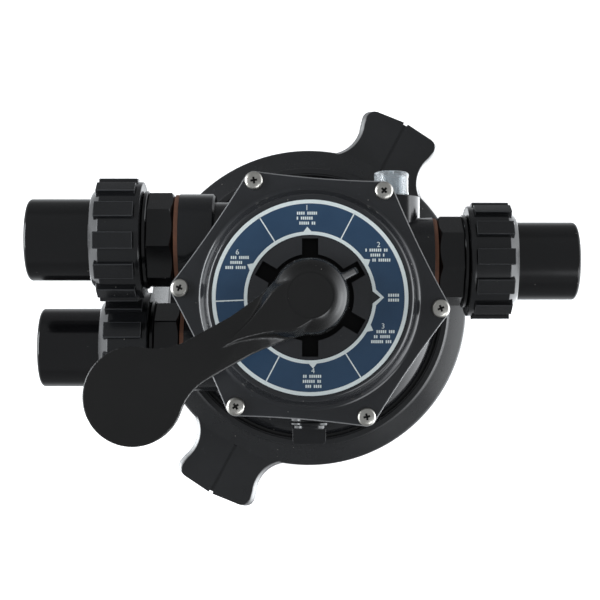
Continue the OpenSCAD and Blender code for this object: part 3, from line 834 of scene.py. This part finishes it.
def tail_pipe(name):
    """Along +Z: the flange that the nut pulls on, and the pipe with its glue socket."""
    profile = [(22, tail_start + 0.3), (22.3, tail_start), (33.8, tail_start), (34.2, tail_start + 0.4),
               (34.2, 146.2), (33.9, 146.5), (30.5, 146.5), (30.2, 147.2), (30.2, 203.6), (30.05, 204.5),
               (29.4, 205.6), (28.8, tail_stop), (25.9, tail_stop),
               (25.3, 205.4), (25.1, 204.6), (25.1, 175), (22, 175), (22, tail_start + 0.3)]
    return smooth(turned(name, profile, 120), 32)


def union_nut(name, lean):
    """Along +Z: a nut with a plain rim, twelve flat grip ribs and a sloped shoulder round the tail. The
    lean, in degrees, is how far it was done up."""
    profile = [(34.7, nut_start + 0.6), (35.3, nut_start), (41.6, nut_start), (42.4, nut_start + 0.4),
               (42.7, nut_start + 1.1),
               (42.7, nut_start + 3.6), (42.4, nut_start + 4.3)]
    profile += [(42.4, shoulder_stop - 8.6), (42.0, shoulder_stop - 7.7), (35.3, shoulder_stop - 1.0),
                (34.4, shoulder_stop - 0.3), (33.2, shoulder_stop), (31.3, shoulder_stop),
                (30.6, shoulder_stop - 0.6), (30.5, 148), (30.7, 147), (34.3, 147)]
    for turn in range(5):
        start = 144 - 4 * turn
        profile += [(35.6, start), (35.6, start - 1), (34.7, start - 1.8), (34.7, start - 2.6)]
    profile += [(34.7, nut_start + 0.6)]
    nut = turned(name, profile, 120)
    softened(nut, 0.4, 2, 50)
    nut.data.materials.append(nut_black)
    nut.data.materials.append(painted_rib_highlight)
    ribs = []
    for turn in range(12):
        rib_block = block("rib", (38, -6.2, nut_start + 4.35), (45.15, 6.2, rib_stop))
        rib_block.data.materials.append(nut_black)
        rib_block.data.materials.append(painted_rib_highlight)
        # The ribs' rounded edges take slot 1, the painted rib highlight.
        softened(rib_block, 0.7, 2, 32, 1)
        ribs.append(placed(rib_block, about_z(30 * turn + lean)))
    combined(nut, joined("ribs", ribs), "UNION")
    return smooth(nut, 34)


def out_of_port(port):
    """The move that takes a piece made along +Z to its port, pointing out of the valve."""
    low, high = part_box(f"{port}_union_nut")
    middle = (low + high) / 2
    side = 1 if middle.x > 0 else -1
    turn = Matrix.Rotation(math.radians(90 * side), 4, "Y")
    return side, Matrix.Translation((0, middle.y, middle.z)) @ turn


first_tail = tail_pipe("tail")
for port, lean in (("pump", -5), ("return", -13.5), ("waste", -0.5)):
    side, place = out_of_port(port)
    for made, part, body in ((nipple(f"{port}_nipple_moulding", 11 * side), "nipple", "housing"),
                             (copied(first_tail, f"{port}_tail_pipe"), "tail", f"{port}_pipe_end"),
                             (union_nut(f"{port}_ribbed_nut", lean), "union_nut", f"{port}_coupling")):
        placed(made, place)
        if part != "union_nut":
            put_on(made, union_black)
        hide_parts(f"{port}_{part}")
        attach(made, body)
    put_on(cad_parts[f"{port}_thread_gasket"], gasket_brown)
bpy.data.objects.remove(first_tail, do_unlink=True)

# ---------------------------------------------------------------- sight glass
# A clear moulded cup screws into a boss beside the waste port, so the water can be watched while the
# filter is being backwashed.
clear = Finish("clear_cup")
clear_place = clear.node("ShaderNodeTexCoord", out="Object")
clear_cloud = clear.noise(clear_place, 120, 4, 0.6)
clear_bump = clear.bump(0.25, 0.08 * MM, clear_cloud)
clear_colour = clear.tint(clear_cloud, (0.62, 0.68, 0.72, 1), (0.82, 0.87, 0.90, 1))
clear_sockets = {"Base Color": clear_colour, "Roughness": 0.10 + 0.10 * clear_cloud, "Normal": clear_bump,
                 "Transmission Weight": 0.75, "IOR": 1.49}
clear_cup = clear.close(clear.node("ShaderNodeBsdfPrincipled", None, clear_sockets))

cup_low, cup_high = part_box("sight_glass")
cup_x, cup_z = (cup_low.x + cup_high.x) / 2, (cup_low.z + cup_high.z) / 2
cup_profile = [(8.6, 70.9), (9.0, 70.5), (10.9, 70.5), (11.4, 71.0), (11.4, 84.6), (12.9, 84.6), (13.5, 85.1),
               (13.5, 87.2), (13.2, 87.8), (13.2, 98.8), (13.5, 99.4), (13.5, 101.0), (13.3, 101.9),
               (12.7, 102.6), (11.7, 103), (10.6, 103), (10.2, 102.6), (9.4, 102.4), (1.5, 102.4)]
inside = [(1.5, 100.4), (7.4, 100.4), (8.2, 100.0), (8.6, 99.2), (8.6, 70.9)]
cup = turned("sight_cup", cup_profile + inside, 64)
placed(cup, Matrix.Translation((cup_x, 0, cup_z)) @ Matrix.Rotation(-math.pi / 2, 4, "X"))
smooth(cup, 35)
put_on(cup, clear_cup)
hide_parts("sight_glass")
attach(cup, "sight_cap")

# ---------------------------------------------------------------- drain plug
# A black plug with a wing to turn it by closes the drain hole at the front. Two rims stop it on the boss.
plug_low, plug_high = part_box("drain_plug")
plug_x, plug_z = (plug_low.x + plug_high.x) / 2, (plug_low.z + plug_high.z) / 2
plug_profile = [(9.6, 78.5), (10, 78.9)]
for turn in range(5):
    start = 79.4 + 2 * turn
    plug_profile += [(10, start), (10, start + 0.5), (9.4, start + 1.0), (9.4, start + 1.5)]
plug_profile += [(10, 89.6), (10, 91.1), (14.4, 91.1), (15, 91.7), (15, 92.8), (14.5, 93.4), (13.1, 93.5),
                 (12.6, 93.8), (12.6, 95.6), (12.1, 96.3), (3, 96.5)]
plug_hollow = [(3, 92), (6.5, 92), (6.5, 78.9), (6.9, 78.5), (9.6, 78.5)]
plug = turned("drain_plug_moulding", plug_profile + plug_hollow, 64)
wing = block("wing", (-12.8, -3.2, 96), (12.8, 3.2, 108))
for side in (-1, 1):
    waist = placed(cylinder("waist", 4, -20, 20, 64), Matrix.Rotation(math.pi / 2, 4, "X"))
    combined(wing, placed(waist, Matrix.Translation(Vector((side * 14.8, 0, 109.9)) * MM)), "DIFFERENCE")
combined(plug, softened(wing, 0.8, 3, 35), "UNION")
placed(plug, Matrix.Translation((plug_x, 0, plug_z)) @ Matrix.Rotation(math.pi / 2, 4, "X"))
smooth(plug, 35)
put_on(plug, body_black)
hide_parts("drain_plug")
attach(plug, "drain_cap")
